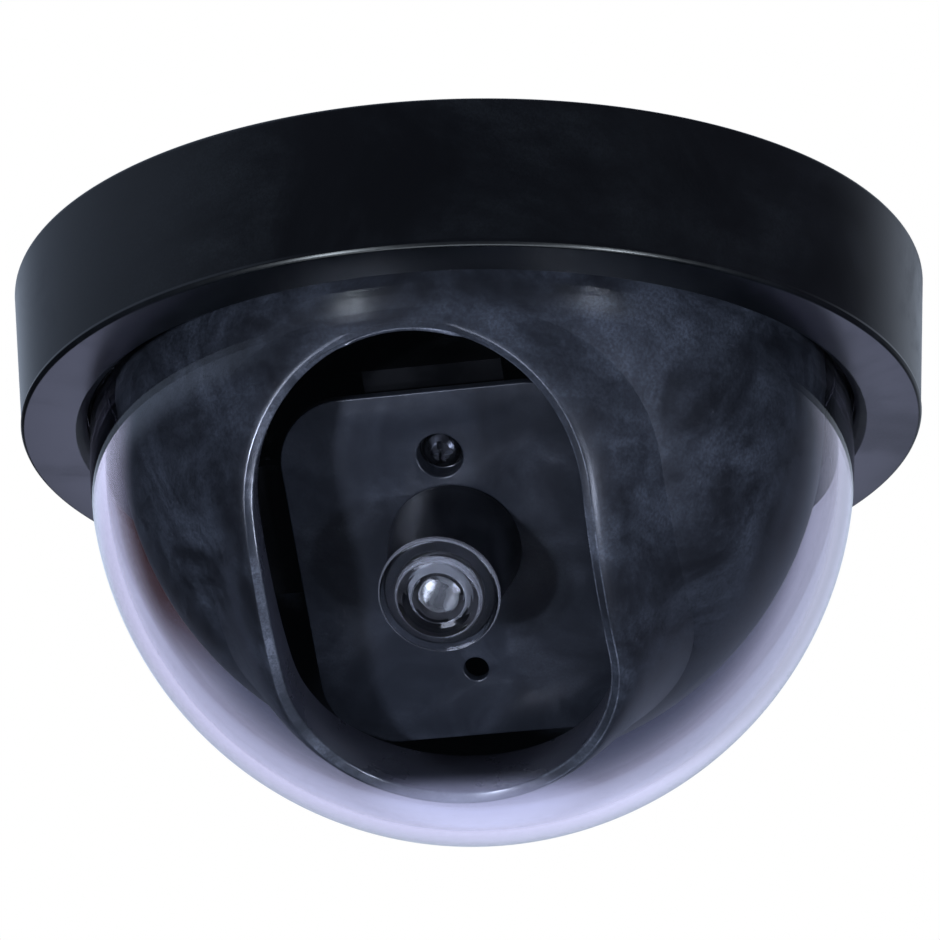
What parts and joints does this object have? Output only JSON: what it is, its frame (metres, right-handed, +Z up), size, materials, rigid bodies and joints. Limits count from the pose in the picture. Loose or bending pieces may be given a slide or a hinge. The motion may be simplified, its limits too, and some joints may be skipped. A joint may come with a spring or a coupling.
{
  "type": "dome cctv camera",
  "caption": "Ceiling dome camera of the deterrent type: twist-on ring with clear dome, hooded inner liner, tilting lens plate and battery holder.",
  "frame": {"origin": "centre of the base plate's ceiling face", "axes": "+Z up into the ceiling, the liner's window and the lens face -Y, +X to the right seen from the lens side looking along +Y"},
  "size_m": [0.12, 0.12, 0.0744],
  "materials": {
    "ring_gloss_black": "glossy moulded ABS with fine handling marks",
    "liner_satin_black": "satin moulded plastic, faintly mottled with dust",
    "moulded_black": "plain moulded plastic",
    "plate_gloss_black": "semi-gloss moulded plastic",
    "clear_dome": "clear acrylic with a slight lavender tint",
    "clear_lens": "clear moulded styrene",
    "led_lens": "water-clear epoxy",
    "seal_foam": "black foam rubber",
    "nylon": "natural nylon",
    "screw_steel": "zinc-plated steel",
    "screw_black": "black oxide on steel",
    "spring_steel": "nickel-plated spring steel",
    "cell_sleeve": "printed shrink sleeve, no lettering",
    "circuit_board": "green solder mask",
    "resistor_body": "beige lacquer",
    "wire_red": "red insulation",
    "wire_black": "black insulation"
  },
  "bodies": {
    "base": {"base_plate": "moulded_black", "pan_washer": "nylon", "pan_screw": "screw_steel"},
    "cover": {"outer_ring": "ring_gloss_black", "clear_dome": "clear_dome", "dome_seal": "seal_foam", "dome_retainer": "moulded_black", "retainer_screw_1": "screw_steel", "retainer_screw_2": "screw_steel", "retainer_screw_3": "screw_steel", "retainer_screw_4": "screw_steel"},
    "turntable": {"turntable": "moulded_black", "liner": "liner_satin_black", "liner_screw_1": "screw_steel", "liner_screw_2": "screw_steel", "liner_screw_3": "screw_steel", "left_arm": "moulded_black", "left_arm_screw": "screw_steel", "left_tilt_pin": "screw_steel", "left_tilt_washer": "nylon", "right_arm": "moulded_black", "right_arm_screw": "screw_steel", "right_tilt_pin": "screw_steel", "right_tilt_washer": "nylon", "battery_holder": "moulded_black", "battery_1": "cell_sleeve", "battery_2": "cell_sleeve", "battery_spring_1": "spring_steel", "battery_spring_2": "spring_steel", "bridge_contact": "spring_steel", "positive_contact": "spring_steel", "negative_contact": "spring_steel", "switch_body": "moulded_black", "wire_red": "wire_red", "wire_black": "wire_black"},
    "switch": {"switch_slider": "nylon"},
    "lens_head": {"head_bracket": "moulded_black", "face_plate": "plate_gloss_black", "plate_screw": "screw_black", "lens_barrel": "plate_gloss_black", "barrel_nut": "moulded_black", "lens_cap": "clear_lens", "led_grommet": "seal_foam", "led": "led_lens", "led_board": "circuit_board", "resistor": "resistor_body", "board_screw_1": "screw_steel", "board_screw_2": "screw_steel"}
  },
  "joints": [
    {"name": "cover_twist", "type": "hinge", "parent": "base", "child": "cover", "pos_m": [0, 0, 0], "axis": [0, 0, 1], "range_deg": [0, 20]},
    {"name": "pan", "type": "hinge", "parent": "base", "child": "turntable", "pos_m": [0, 0, 0], "axis": [0, 0, 1], "continuous": true},
    {"name": "tilt", "type": "hinge", "parent": "turntable", "child": "lens_head", "pos_m": [0, 0, -0.0173], "axis": [1, 0, 0], "range_deg": [-20, 20], "deforming": ["wire_red", "wire_black"]},
    {"name": "switch_slide", "type": "slide", "parent": "turntable", "child": "switch", "axis": [1, 0, 0], "range_m": [0, 0.0023]}
  ]
}
